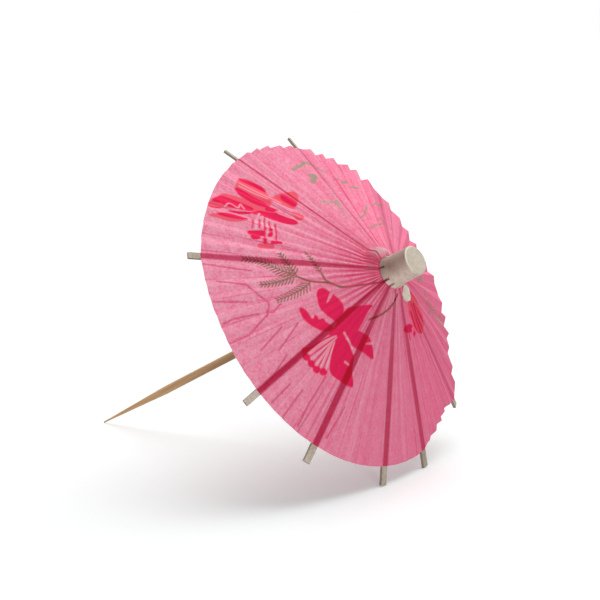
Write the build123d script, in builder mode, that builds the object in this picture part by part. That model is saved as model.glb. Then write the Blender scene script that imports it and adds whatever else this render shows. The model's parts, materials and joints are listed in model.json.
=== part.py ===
from build123d import *
import os
from math import atan2, cos, degrees, hypot, radians, sin, tan

# A paper cocktail umbrella on a pointed pick. Every piece is modelled upright on the stick's axis,
# with the point at the origin and +X on the side that lies lowest, in its open position.
# At the end all pieces are laid down together, resting on the point and on two rib tips.

# Pick stick
OVERALL_LENGTH = 100.0
STICK_DIAMETER = 1.8
STICK_TOP_DIAMETER = 1.7
POINT_LENGTH = 21.0
POINT_DIAMETER = 0.3

# Crown: the creases where the ribs fold, and the cap that binds their roots
HINGE_RADIUS = 2.4
CAP_DIAMETER = 6.8
CAP_HEIGHT = 7.05
CAP_TOP_WALL = 1.6
CAP_EDGE_RADIUS = 0.35
SKIRT_DIAMETER = 7.4
SKIRT_HEIGHT = 2.2
SKIRT_DROP = 0.3
SKIRT_LIP = 0.35
NOTCH_WIDTH = 0.55
NOTCH_HEIGHT = 1.3

# Ribs, cut and set by hand, counted from the pair that touches the table
RIB_GAPS = (23.0, 31.0, 39.0, 39.5, 40.5, 32.5, 46.5, 48.0, 27.0, 33.0)
RIB_LENGTHS = (44.0, 44.0, 44.6, 38.6, 39.6, 42.4, 43.2, 44.0, 44.0, 44.0)
RIB_WIDTHS = (1.7, 1.7, 1.4, 1.6, 1.6, 0.6, 0.6, 1.4, 1.5, 1.7)
RIB_ROOT_WIDTH = 0.7
RIB_TAPER_LENGTH = 20.0
RIB_THICKNESS = 0.6
RIB_SLOPE = 27.0
FOLD_ANGLE = 54.0

# Struts and the tabs that hold them under the ribs
STRUT_REACH = 18.0
STRUT_WIDTH = 1.3
STRUT_ROOT_WIDTH = 0.7
STRUT_THICKNESS = 0.5
TAB_LENGTH = 3.0
TAB_WIDTH = 1.2
TAB_THICKNESS = 0.3
TAB_SETBACK = 0.5

# Paper canopy
PAPER_RADIUS = 38.4
PAPER_HOLE_RADIUS = 3.3
PAPER_THICKNESS = 0.12
GLUED_STRIP_ANGLE = 5.5
PLEAT_ANGLE = 3.2
PLEAT_DEPTH = 0.8
SEAM_ANGLE = 0.2

# Runner and what holds it up
RUNNER_TOP = 1.2
RUNNER_LENGTH = 12.0
BAND_DIAMETER = 5.6
BAND_HEIGHT = 4.2
SPACER_DIAMETER = 3.6
SPACER_LENGTH = 8.0
RING_DIAMETER = 4.0
RING_HEIGHT = 1.8
RING_EDGE_RADIUS = 0.3

# Clearances
CREASE_GAP = 0.05
GLUE_GAP = 0.05
WRAP_GAP = 0.03
SLIDING_GAP = 0.08
STRUT_END_GAP = 0.1
STACK_GAP = 0.05
BAND_GAP = 0.6

# Rib directions around the stick
full_turn = sum(RIB_GAPS)
rib_gaps = [360 * gap / full_turn for gap in RIB_GAPS]
rib_angles = [sum(rib_gaps[:i]) - rib_gaps[0] / 2 for i in range(len(rib_gaps))]

# Crown heights: the ribs crease just under the cap
cap_base = OVERALL_LENGTH - CAP_HEIGHT
hinge_height = cap_base - CREASE_GAP - RIB_THICKNESS / 2

# Strut linkage: strut and rib make an isosceles triangle, so a strut's inner end stays at the hinge radius
pivot_depth = RIB_THICKNESS / 2 + CREASE_GAP + STRUT_THICKNESS / 2
strut_length = hypot(STRUT_REACH, pivot_depth)
pivot_lean = 90 - RIB_SLOPE - degrees(atan2(pivot_depth, STRUT_REACH))


def strut_end_height(fold):
    """Height of the struts' inner ends when the ribs have folded down by an angle."""
    return hinge_height - 2 * strut_length * cos(radians(pivot_lean - fold))


runner_height = strut_end_height(0)
runner_travel = runner_height - strut_end_height(FOLD_ANGLE)
strut_dip = runner_height - runner_travel / 2 - strut_end_height(FOLD_ANGLE / 2)

# Heights and radii that follow
cap_ceiling = OVERALL_LENGTH - CAP_TOP_WALL
cap_bore = HINGE_RADIUS + RIB_THICKNESS / 2 + WRAP_GAP
inner_top = cap_ceiling - STACK_GAP
sleeve_radius = HINGE_RADIUS - max(RIB_THICKNESS, STRUT_THICKNESS) / 2 - STRUT_END_GAP
runner_top = runner_height + RUNNER_TOP
runner_bottom = runner_top - RUNNER_LENGTH
band_top = runner_height - STRUT_THICKNESS / 2 - strut_dip - BAND_GAP
spacer_top = runner_bottom - STACK_GAP
ring_top = spacer_top - SPACER_LENGTH - STACK_GAP
ring_bottom = ring_top - RING_HEIGHT
free_shaft_top = ring_bottom - runner_travel - STACK_GAP

# Paper surface: pleats are flat facets that all run to one point on the stick's axis
slope = radians(RIB_SLOPE)
paper_lift = RIB_THICKNESS / 2 + GLUE_GAP + PAPER_THICKNESS
paper_apex = hinge_height + HINGE_RADIUS * tan(slope) + paper_lift / cos(slope)
paper_underside_apex = paper_apex - PAPER_THICKNESS / cos(slope)


def rib_plane(angle):
    """Plane of a rib: origin on its crease, X along the rib, Z out of its upper face."""
    direction = Vector(1, 0, 0).rotate(Axis.Z, angle)
    up = Vector(0, 0, 1)
    return Plane(
        origin=direction * HINGE_RADIUS + up * hinge_height,
        x_dir=direction * cos(slope) - up * sin(slope),
        z_dir=direction * sin(slope) + up * cos(slope),
    )


def side_plane(face):
    """Plane that looks at a strip from its side: same origin and X, with Y out of the strip's face."""
    return Plane(origin=face.origin, x_dir=face.x_dir, z_dir=-face.y_dir)


def strut_plane(angle):
    """Plane of a strut: origin on its crease under the rib, X down to the runner."""
    direction = Vector(1, 0, 0).rotate(Axis.Z, angle)
    up = Vector(0, 0, 1)
    lean = radians(pivot_lean)
    return Plane(
        origin=rib_plane(angle).from_local_coords(Vector(STRUT_REACH, 0, -pivot_depth)),
        x_dir=direction * -sin(lean) - up * cos(lean),
        z_dir=direction * -cos(lean) + up * sin(lean),
    )


def tube(inner_radius, outer_radius, bottom, top):
    """Plain tube around the stick."""
    with BuildPart() as sleeve:
        with BuildSketch(Plane.XY.offset(bottom)):
            Circle(outer_radius)
            Circle(inner_radius, mode=Mode.SUBTRACT)
        extrude(amount=top - bottom)
    return sleeve.part


def make_stick():
    """Round skewer: a long tapered point, a straight shaft that stays free, and a slightly slimmer top."""
    with BuildPart() as stick:
        with BuildSketch(Plane.XZ):
            with BuildLine():
                Polyline(
                    (0, 0),
                    (POINT_DIAMETER / 2, 0),
                    (STICK_DIAMETER / 2, POINT_LENGTH),
                    (STICK_DIAMETER / 2, free_shaft_top),
                    (STICK_TOP_DIAMETER / 2, inner_top),
                    (0, inner_top),
                    close=True,
                )
            make_face()
        revolve(axis=Axis.Z)
    return stick.part


def make_cap():
    """Closed cap with a skirt that flares down over the paper, notched over every rib."""
    skirt_base = cap_base - SKIRT_DROP
    with BuildPart() as cap:
        with BuildSketch(Plane.XZ):
            with BuildLine():
                lip = (SKIRT_DIAMETER / 2, skirt_base + SKIRT_LIP)
                neck = (CAP_DIAMETER / 2, cap_base + SKIRT_HEIGHT)
                Polyline((cap_bore, cap_base), (SKIRT_DIAMETER / 2, skirt_base), lip)
                TangentArc(neck, lip, tangent=(0, -1))
                Polyline(
                    neck,
                    (CAP_DIAMETER / 2, OVERALL_LENGTH),
                    (0, OVERALL_LENGTH),
                    (0, cap_ceiling),
                    (cap_bore, cap_ceiling),
                    (cap_bore, cap_base),
                )
            make_face()
        revolve(axis=Axis.Z)
        rim = cap.edges().filter_by(GeomType.CIRCLE).group_by(Axis.Z)[-1]
        fillet(rim, radius=CAP_EDGE_RADIUS)
        with BuildSketch(Plane.XY.offset(skirt_base)):
            for angle in rib_angles:
                with Locations(Location((0, 0, 0), (0, 0, angle))):
                    with Locations((SKIRT_DIAMETER / 2, 0)):
                        Rectangle(SKIRT_DIAMETER - 2 * cap_bore, NOTCH_WIDTH)
        extrude(amount=NOTCH_HEIGHT, mode=Mode.SUBTRACT)
    return cap.part


def make_rib_roots():
    """Creased-up inner ends of the ribs, standing around the upper sleeve inside the cap."""
    with BuildPart() as roots:
        with BuildSketch(Plane.XY.offset(cap_base)):
            for angle in rib_angles:
                with Locations(Location((0, 0, 0), (0, 0, angle))):
                    with Locations((HINGE_RADIUS, 0)):
                        Rectangle(RIB_THICKNESS, RIB_ROOT_WIDTH)
        extrude(amount=inner_top - cap_base)
    return roots.part


def make_rib(angle, length, width):
    """Flat strip with a rounded crease at its inner end, narrowing towards the crown."""
    face = rib_plane(angle)
    with BuildPart() as rib:
        with BuildSketch(side_plane(face)):
            Circle(RIB_THICKNESS / 2)
            with Locations((length / 2, 0)):
                Rectangle(length, RIB_THICKNESS)
        extrude(amount=width / 2, both=True)
        with BuildSketch(face):
            with BuildLine():
                Polyline(
                    (-RIB_THICKNESS / 2, -RIB_ROOT_WIDTH / 2),
                    (RIB_TAPER_LENGTH, -width / 2),
                    (length, -width / 2),
                    (length, width / 2),
                    (RIB_TAPER_LENGTH, width / 2),
                    (-RIB_THICKNESS / 2, RIB_ROOT_WIDTH / 2),
                    close=True,
                )
            make_face()
        extrude(amount=RIB_THICKNESS, both=True, mode=Mode.INTERSECT)
    return rib.part


def make_strut_tab(angle, width):
    """Folded-over strut end, glued under a rib just inside the strut's crease."""
    with BuildPart() as tab:
        with BuildSketch(rib_plane(angle).offset(-RIB_THICKNESS / 2)):
            with Locations((STRUT_REACH - TAB_SETBACK - TAB_LENGTH / 2, 0)):
                Rectangle(TAB_LENGTH, width)
        extrude(amount=-TAB_THICKNESS)
    return tab.part


def make_strut(angle, width):
    """Strip with a rounded crease at both ends, narrowing towards the runner."""
    face = strut_plane(angle)
    with BuildPart() as strut:
        with BuildSketch(side_plane(face)):
            with Locations((strut_length / 2, 0)):
                SlotCenterToCenter(strut_length, STRUT_THICKNESS)
        extrude(amount=width / 2, both=True)
        with BuildSketch(face):
            with BuildLine():
                Polyline(
                    (-STRUT_THICKNESS / 2, -width / 2),
                    (strut_length + STRUT_THICKNESS / 2, -STRUT_ROOT_WIDTH / 2),
                    (strut_length + STRUT_THICKNESS / 2, STRUT_ROOT_WIDTH / 2),
                    (-STRUT_THICKNESS / 2, width / 2),
                    close=True,
                )
            make_face()
        extrude(amount=STRUT_THICKNESS, both=True, mode=Mode.INTERSECT)
    return strut.part


def pleat_folds(gap):
    """Folds from the strip glued on a rib to the middle of a gap, as (angle, share of the radius)."""
    strip_share = 1 / cos(radians(GLUED_STRIP_ANGLE))
    loose_angle = gap / 2 - SEAM_ANGLE / 2 - GLUED_STRIP_ANGLE
    count = max(1, round(loose_angle / PLEAT_ANGLE))
    folds = [(GLUED_STRIP_ANGLE, strip_share)]
    for i in range(1, count + 1):
        wave = (-1) ** i * PLEAT_DEPTH / 2 / PAPER_RADIUS
        folds.append((GLUED_STRIP_ANGLE + loose_angle * i / count, strip_share + wave))
    return folds


def make_canopy_strip(angle, gap_before, gap_after):
    """The part of the pleated paper that one rib carries, from mid-gap to mid-gap."""
    before = [(-turn, share) for turn, share in reversed(pleat_folds(gap_before))]
    folds = before + pleat_folds(gap_after)
    rim_height = paper_apex - PAPER_RADIUS * tan(slope)
    hole_height = paper_apex - PAPER_HOLE_RADIUS * tan(slope)
    with BuildPart() as paper:
        for facet_folds in zip(folds, folds[1:]):
            corners = []
            for turn, share in facet_folds:
                for height in (rim_height, hole_height):
                    for apex in (paper_apex, paper_underside_apex):
                        radius = share * (apex - height) / tan(slope)
                        corners.append(Vector(radius, 0, height).rotate(Axis.Z, angle + turn))
            ConvexPolyhedron(corners)
    return paper.part


def make_stop_ring():
    """Small moulded ring that grips the stick under the spacer."""
    with BuildPart() as ring:
        with BuildSketch(Plane.XY.offset(ring_bottom)):
            Circle(RING_DIAMETER / 2)
            Circle(STICK_DIAMETER / 2 + SLIDING_GAP, mode=Mode.SUBTRACT)
        extrude(amount=RING_HEIGHT)
        rims = ring.edges().filter_by(GeomType.CIRCLE).group_by(SortBy.RADIUS)[-1]
        fillet(rims, radius=RING_EDGE_RADIUS)
    return ring.part


# Pieces on the stick
fixed_bore = STICK_DIAMETER / 2 + WRAP_GAP
sliding_bore = STICK_DIAMETER / 2 + SLIDING_GAP
band_bore = sleeve_radius + WRAP_GAP
pieces = {
    "pick_stick": make_stick(),
    "crown_cap": make_cap(),
    "rib_roots": make_rib_roots(),
    "upper_sleeve": tube(fixed_bore, sleeve_radius, runner_top + STACK_GAP, inner_top),
    "runner_sleeve": tube(sliding_bore, sleeve_radius, runner_bottom, runner_top),
    "runner_band": tube(band_bore, BAND_DIAMETER / 2, band_top - BAND_HEIGHT, band_top),
    "spacer_sleeve": tube(sliding_bore, SPACER_DIAMETER / 2, spacer_top - SPACER_LENGTH, spacer_top),
    "stop_ring": make_stop_ring(),
}

# Ribs with their struts and paper
for i, (angle, length, width) in enumerate(zip(rib_angles, RIB_LENGTHS, RIB_WIDTHS)):
    number = i + 1
    pieces[f"rib_{number}"] = make_rib(angle, length, width)
    pieces[f"strut_tab_{number}"] = make_strut_tab(angle, min(TAB_WIDTH, width))
    pieces[f"strut_{number}"] = make_strut(angle, min(STRUT_WIDTH, width))
    pieces[f"canopy_{number}"] = make_canopy_strip(angle, rib_gaps[i - 1], rib_gaps[i])

# Lay the umbrella down until the rib tips beside +X meet the table together with the point
touching_tilts = []
for angle, length, width in zip(rib_angles, RIB_LENGTHS, RIB_WIDTHS):
    for side in (-1, 1):
        for face in (-1, 1):
            corner = Vector(length, side * width / 2, face * RIB_THICKNESS / 2)
            tip = rib_plane(angle).from_local_coords(corner)
            touching_tilts.append(degrees(atan2(tip.X - POINT_DIAMETER / 2, tip.Z)))
lying_turn = Location((0, 0, 0), (0, 90 - max(touching_tilts), 0))
lying_box = Compound(children=[piece.moved(lying_turn) for piece in pieces.values()]).bounding_box()
lying_shift = Location((-lying_box.center().X, -lying_box.center().Y, -lying_box.min.Z))
lying = lying_shift * lying_turn

os.makedirs("parts", exist_ok=True)
for name, piece in pieces.items():
    laid = piece.moved(lying)
    laid.label = name
    export_step(laid, f"parts/{name}.step")
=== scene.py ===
import json
import math

import bpy
import numpy as np
from mathutils import Matrix, Vector


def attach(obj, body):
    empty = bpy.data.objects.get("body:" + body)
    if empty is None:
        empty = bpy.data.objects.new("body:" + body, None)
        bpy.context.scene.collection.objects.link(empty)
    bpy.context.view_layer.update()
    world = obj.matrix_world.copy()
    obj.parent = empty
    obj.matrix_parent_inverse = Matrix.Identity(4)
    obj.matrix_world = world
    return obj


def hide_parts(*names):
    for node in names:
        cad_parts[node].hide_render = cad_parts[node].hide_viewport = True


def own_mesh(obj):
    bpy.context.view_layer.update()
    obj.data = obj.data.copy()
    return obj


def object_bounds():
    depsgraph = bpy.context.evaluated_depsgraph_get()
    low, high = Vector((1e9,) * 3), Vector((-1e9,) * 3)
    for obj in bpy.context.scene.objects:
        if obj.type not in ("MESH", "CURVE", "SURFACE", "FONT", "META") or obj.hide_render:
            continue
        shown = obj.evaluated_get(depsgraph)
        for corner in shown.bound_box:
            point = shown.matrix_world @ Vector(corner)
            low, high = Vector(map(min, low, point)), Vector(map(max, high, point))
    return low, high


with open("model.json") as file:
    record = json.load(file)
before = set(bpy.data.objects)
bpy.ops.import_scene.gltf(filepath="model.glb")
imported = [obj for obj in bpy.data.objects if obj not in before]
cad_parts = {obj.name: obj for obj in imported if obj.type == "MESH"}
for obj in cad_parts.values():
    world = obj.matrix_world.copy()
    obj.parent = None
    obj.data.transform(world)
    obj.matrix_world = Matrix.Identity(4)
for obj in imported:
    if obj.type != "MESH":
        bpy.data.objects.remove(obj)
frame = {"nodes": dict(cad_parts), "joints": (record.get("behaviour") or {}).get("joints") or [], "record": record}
cad_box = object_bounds()

MM = 0.001

# Camera at the photograph's viewing angle, in degrees and metres
CAMERA_AZIMUTH = 35.49
CAMERA_ELEVATION = 14.01
CAMERA_ROLL = -1.29
CAMERA_DISTANCE = 800 * MM
CAMERA_LENS = 215.98
CAMERA_SENSOR = 36.0
AIM_HEIGHT = 35.7 * MM
AIM_RIGHT = 10.15 * MM
AIM_UP = -0.70 * MM

# Light: a broad soft lamp high behind the object, a weak one low in front of it, and an even surround
LAMP_DISTANCE = 1.4
KEY_AZIMUTH = 182.0
KEY_ELEVATION = 71.0
KEY_SIZE = 1.7
KEY_POWER = 18.0
FILL_AZIMUTH = 52.0
FILL_ELEVATION = 8.0
FILL_SIZE = 0.45
FILL_POWER = 7.0
SURROUND_LIGHT = 0.26
FLOOR_HALF = 0.5
FLOOR_GLOW = 0.2
FLOOR_COLOUR = (0.91, 0.94, 0.935, 1.0)
FLOOR_BOUNCE = (0.4, 0.4, 0.4, 1.0)

# Ribs, as they lie under the paper
RIB_SLOPE = math.radians(27)
RIB_ROOT_HALF_WIDTH = 0.35 * MM
RIB_TAPER_LENGTH = 20 * MM
RIB_HALF_THICKNESS = 0.3 * MM
# How strongly each rib's painted shadow shows on the paper, how much of that is left at its root, and its soft
# edge
RIB_SHADOW_STRENGTH = (0.8, 0.75, 0.4, 0.25, 0.2, 0.35, 0.95, 0.88, 1.0, 0.95)
RIB_ROOT_SHADOW = 0.8
RIB_EDGE = 0.35 * MM

# Paper sheet, and the mesh that carries it
PAPER_RADIUS = 38.4 * MM
PAPER_HOLE = 2.7 * MM
PAPER_LIFT = 0.08 * MM
SHEET_ROWS = 155
COLUMN_STEP = 0.25 * MM
# Angle in degrees below which two folds count as one
SAME_ANGLE = 1e-6
SEED = 7
# Phases of all waves are drawn from a little more than a whole turn, in radians
PHASE_RANGE = 7

# Pleats, with angles in degrees: the flat glued part beside each rib, and one facet
GLUED_ANGLE = 2.4
PLEAT_ANGLE = 2.8
# Largest chance shift of a fold, as a share of its facet, and the chance range of its height
PLEAT_SHIFT = 0.34
PLEAT_SPREAD = (0.5, 1.3)
# Share of a pleat's height that is left at the crown, and of its sector that a folded strip fills
CROWN_SHARE = 0.3
FOLDED_ROOM = 0.96
# Height of the pleats in each gap in millimetres, from the gap that lies lowest round to the near side
PLEAT_HEIGHTS = (0.14, 0.34, 0.4, 0.5, 0.55, 0.48, 0.36, 0.12, 0.10, 0.12)

# Rim: how uneven it is, in waves round the canopy
RIM_WOBBLE = 0.003
RIM_WAVES = np.arange(5, 14)
# How far the rim was cut beyond the plain circle: angle from the lowest side, and offset in millimetres
RIM_OFFSETS = (
    (-11.5, -0.35),
    (12, -0.3),
    (15, -1.0),
    (29, -1.4),
    (35, -1.0),
    (39, 0.2),
    (43, 2.2),
    (49, 0.5),
    (57, -2.4),
    (75, -2.2),
    (83, -0.9),
    (98, -1.8),
    (114, 0.0),
    (126, 0.7),
    (144, -1.4),
    (165, -1.5),
    (194, -0.5),
    (218, 0.1),
    (240.5, 0.9),
    (265, 0.2),
    (315.5, -0.35),
)

# Ruffle of gathered paper round the cap, highest on one side; pale torn paper with a painted highlight, palest
# where it is highest
RUFFLE_HEIGHT = 1.2 * MM
RUFFLE_RADIUS = 5.2 * MM
RUFFLE_WIDTH = 1.2 * MM
RUFFLE_COUNT = 53
RUFFLE_SWAYS = 7
RUFFLE_SWAY = 1.7
RUFFLE_ANGLE = 190.0
RUFFLE_SPREAD = 45.0
RUFFLE_LEAST = 0.2
RUFFLE_HIGHLIGHT = 1.4

# Rumples off the ribs, with wave lengths in millimetres
RUMPLE_HEIGHT = 0.07 * MM
RUMPLE_COUNT = 28
RUMPLE_LENGTHS = (5.0, 16.0)
RUMPLE_REACH = 2 * MM

# Fine creases, painted as lines of shade and of highlight, in millimetres: number, half width, fading along the
# crease, and strength of the painted highlights
FINE_CREASES = 150
FINE_CREASE_WIDTH = 0.16
FADE_RATE = 0.16
FADE_LEAST = 0.3
CREASE_HIGHLIGHTS = 0.2

# Painted shade on the paper: deeper at the crown on one side, and a richer, deeper pink over the other side
CROWN_SHADE_RADIUS = 13 * MM
CROWN_SHADE_ANGLE = 255.0
CROWN_SHADE_DEPTH = 1.8
CROWN_FOLD_DEPTH = 0.4
SIDE_SHADE_ANGLE = 50.0

# Torn paper flap that the cap pins down beside the third rib, drawn on the flat sheet in millimetres
FLAP_ROOT = (2.5, 2.5)
FLAP_TIP = (6.7, 3.8)
FLAP_WIDTH = 3.4
FLAP_ROWS = 16
FLAP_COLUMNS = 9
FLAP_ROOT_LIFT = 0.06 * MM
FLAP_LIFT = 0.6 * MM
# Shares: the narrow neck's length, the least roundness of the ends, and the tilt to one side
FLAP_NECK = 0.2
FLAP_END = 0.03
FLAP_TILT = 0.4

# The crown's frame: the stick's axis, the side that lies lowest, and the creases of the ribs
joints = {joint["name"]: joint for joint in frame["joints"]}
rib_joints = [joint for name, joint in joints.items() if name.startswith("rib_")]
rib_count = len(rib_joints)
stick_up = Vector(joints["runner_slide"]["axis"]).normalized()
stick_low = (stick_up * stick_up.z - Vector((0, 0, 1))).normalized()
stick_side = stick_up.cross(stick_low)
stick_point = Vector(frame["record"]["mounts"][0]["pos_m"])


def from_axis(point):
    """A point's height along the stick and its offset from the stick's axis."""
    offset = Vector(point) - stick_point
    height = offset.dot(stick_up)
    return height, offset - stick_up * height


def rib_half_width(number):
    """Half of a rib's width, measured on its solid."""
    joint = joints[f"rib_{number}_crease"]
    tangent, crease = Vector(joint["axis"]), Vector(joint["pos_m"])
    corners = frame["nodes"][f"rib_{number}"].data.vertices
    return max(abs((corner.co - crease).dot(tangent)) for corner in corners)


hinge_height, hinge_offset = from_axis(rib_joints[0]["pos_m"])
hinge_radius = hinge_offset.length
rib_angles = []
for joint in rib_joints:
    _, offset = from_axis(joint["pos_m"])
    rib_angles.append(math.degrees(math.atan2(offset.dot(stick_side), offset.dot(stick_low))))
first_angle = rib_angles[0]
rib_angles = [first_angle + (angle - first_angle) % 360 for angle in rib_angles]
rib_gaps = [(rib_angles[(i + 1) % rib_count] - rib_angles[i]) % 360 for i in range(rib_count)]
rib_half_widths = np.array([rib_half_width(number) for number in range(1, rib_count + 1)])
paper_lift = RIB_HALF_THICKNESS + PAPER_LIFT
paper_apex = hinge_height + hinge_radius * math.tan(RIB_SLOPE) + paper_lift / math.cos(RIB_SLOPE)
cap_end_height = max(from_axis(corner.co)[0] for corner in frame["nodes"]["crown_cap"].data.vertices)


# Shader expressions


class Value:
    """One socket of a finish. Arithmetic on it adds Math nodes."""

    def __init__(self, finish, socket):
        self.finish = finish
        self.socket = socket

    def math(self, operation, *values):
        """A calculation on values."""
        return self.finish.node("Math", {"operation": operation}, dict(enumerate(values)))

    def __add__(self, other):
        return self.math("ADD", self, other)

    def __sub__(self, other):
        return self.math("SUBTRACT", self, other)

    def __rsub__(self, other):
        return self.math("SUBTRACT", other, self)

    def __mul__(self, other):
        return self.math("MULTIPLY", self, other)

    def size(self):
        """The value without its sign."""
        return self.math("ABSOLUTE", self)

    def sine(self):
        """The sine of the value, in radians."""
        return self.math("SINE", self)

    def between(self, low, high):
        """0 below low, 1 above high, and an even slope between."""
        inputs = {"Value": self, "From Min": low, "From Max": high}
        return self.finish.node("MapRange", {"clamp": True}, inputs)


class Finish:
    """A material, or the world, whose nodes are added one by one."""

    def __init__(self, owner):
        owner.use_nodes = True
        self.owner = owner
        self.tree = owner.node_tree
        self.tree.nodes.clear()

    def node(self, kind, settings=None, inputs=None, output=0):
        """Adds a node from its type, settings and socket values or links, and gives one output."""
        node = self.tree.nodes.new("ShaderNode" + kind)
        for name, setting in (settings or {}).items():
            setattr(node, name, setting)
        for name, value in (inputs or {}).items():
            if isinstance(value, Value):
                self.tree.links.new(value.socket, node.inputs[name])
            else:
                node.inputs[name].default_value = value
        return Value(self, node.outputs[output] if node.outputs else None)

    def mix(self, share, first, second, blend="MIX"):
        """Mixes two colours."""
        settings = {"data_type": "RGBA", "blend_type": blend}
        return self.node("Mix", settings, {0: share, 6: first, 7: second}, output=2)

    def vector(self, operation, inputs, output=0):
        """A calculation on vectors."""
        return self.node("VectorMath", {"operation": operation}, inputs, output)

    def noise(self, place, scale, detail=3.0, roughness=0.55):
        """Cloudy noise, from 0 to 1 and mostly near the middle."""
        inputs = {"Vector": place, "Scale": scale, "Detail": detail, "Roughness": roughness}
        return self.node("TexNoise", inputs=inputs)

    def mark(self, name):
        """A value that the mesh carries on its points."""
        return self.node("Attribute", {"attribute_name": name}, output="Fac")

    def place(self):
        """The place on the object, in metres."""
        return self.node("TexCoord", output="Object")

    def bump(self, height, depth, strength):
        """A normal that follows a height, whose unit is the depth in metres."""
        return self.node("Bump", inputs={"Height": height, "Distance": depth, "Strength": strength})

    def principled(self, colour, roughness, normal, specular=0.3):
        """A plain opaque surface."""
        inputs = {"Base Color": colour, "Roughness": roughness, "Normal": normal}
        return self.node("BsdfPrincipled", inputs={**inputs, "Specular IOR Level": specular})

    def surface(self, shader, output="OutputMaterial"):
        """Links the shader to the output, and gives the finished material or world."""
        self.node(output, inputs={"Surface": shader})
        return self.owner


def srgb(red, green, blue):
    """A screen colour, 0 to 255, as Blender's linear colour."""
    shares = [part / 255 for part in (red, green, blue)]
    linear = [s / 12.92 if s <= 0.04045 else ((s + 0.055) / 1.055) ** 2.4 for s in shares]
    return (*linear, 1.0)


# Finishes

WHITE = (1.0, 1.0, 1.0, 1.0)

# Tissue paper, the light through it, and its painted shade, highlights and rib shadows
PAPER_LIGHT = srgb(247, 174, 195)
PAPER_DEEP = srgb(241, 119, 154)
PAPER_SIDE_SHADE = srgb(252, 104, 150)
PAPER_CREASE_SHADE = srgb(214, 34, 96)
PAPER_TORN_AND_HIGHLIGHT = srgb(255, 236, 240)
PAPER_THROUGH = srgb(255, 190, 208)
RIB_SHADOW_TINT = (0.62, 0.08, 0.22, 1.0)
RIB_SHADE = srgb(205, 45, 85)

# Inks
PRINT_CRIMSON = srgb(240, 14, 84)
PRINT_CORAL = srgb(248, 92, 112)
PRINT_PALE = srgb(255, 190, 206)
PRINT_SAGE = srgb(60, 165, 100)
PRINT_OLIVE = srgb(96, 84, 4)

# Skewer, ribs, cap, sleeves and ring
SKEWER_DARK = srgb(212, 162, 114)
SKEWER_LIGHT = srgb(242, 200, 150)
SKEWER_POINT = srgb(150, 140, 130)
RIB_DARK = srgb(170, 156, 138)
RIB_LIGHT = srgb(226, 212, 196)
RIB_SIDE_SHADE = srgb(112, 90, 72)
CAP_DARK = srgb(220, 206, 188)
CAP_LIGHT = srgb(246, 237, 222)
CAP_STAIN = srgb(138, 106, 94)
CAP_WINDING_AND_SHADE = srgb(168, 154, 134)
CAP_RIM_HIGHLIGHT = srgb(250, 246, 234)
SLEEVE_DARK = srgb(206, 138, 158)
SLEEVE_LIGHT = srgb(238, 190, 204)
NEWSPRINT_DARK = srgb(168, 162, 150)
NEWSPRINT_LIGHT = srgb(222, 216, 204)
RING_DARK = srgb(226, 222, 212)
RING_LIGHT = srgb(246, 244, 238)

# How strongly the painted side shade, the thinner inks and the painted crease shade colour the paper, and its
# translucent share
SIDE_SHADE_STRENGTH = 0.7
PALE_STRENGTH = 0.75
SAGE_STRENGTH = 0.6
CREASE_SHADE_STRENGTH = 0.85
TRANSLUCENT_SHARE = 0.05

# Heights along the stick, from its mount, between which the skewer's worn point fades out
WORN_POINT = (-28.5 * MM, -26 * MM)

# Cap: the stained side, and the distances towards it between which the stain and the rim's painted highlight fade
# in
CAP_STAIN_ANGLE = math.radians(232)
CAP_STAIN_REACH = (2.4 * MM, 4.6 * MM)
CAP_HIGHLIGHT_REACH = (0.5 * MM, 2.5 * MM)
# Cap's end face: the radii and depths between which its rim's painted highlight and the face itself fade in
CAP_HIGHLIGHT_RADIUS = (2.8 * MM, 3.1 * MM)
CAP_END_DEPTH = (0.1 * MM, 0.02 * MM)
# Winding lines on the end face, in radians per metre
WINDING_RATE = 16000.0


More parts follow.
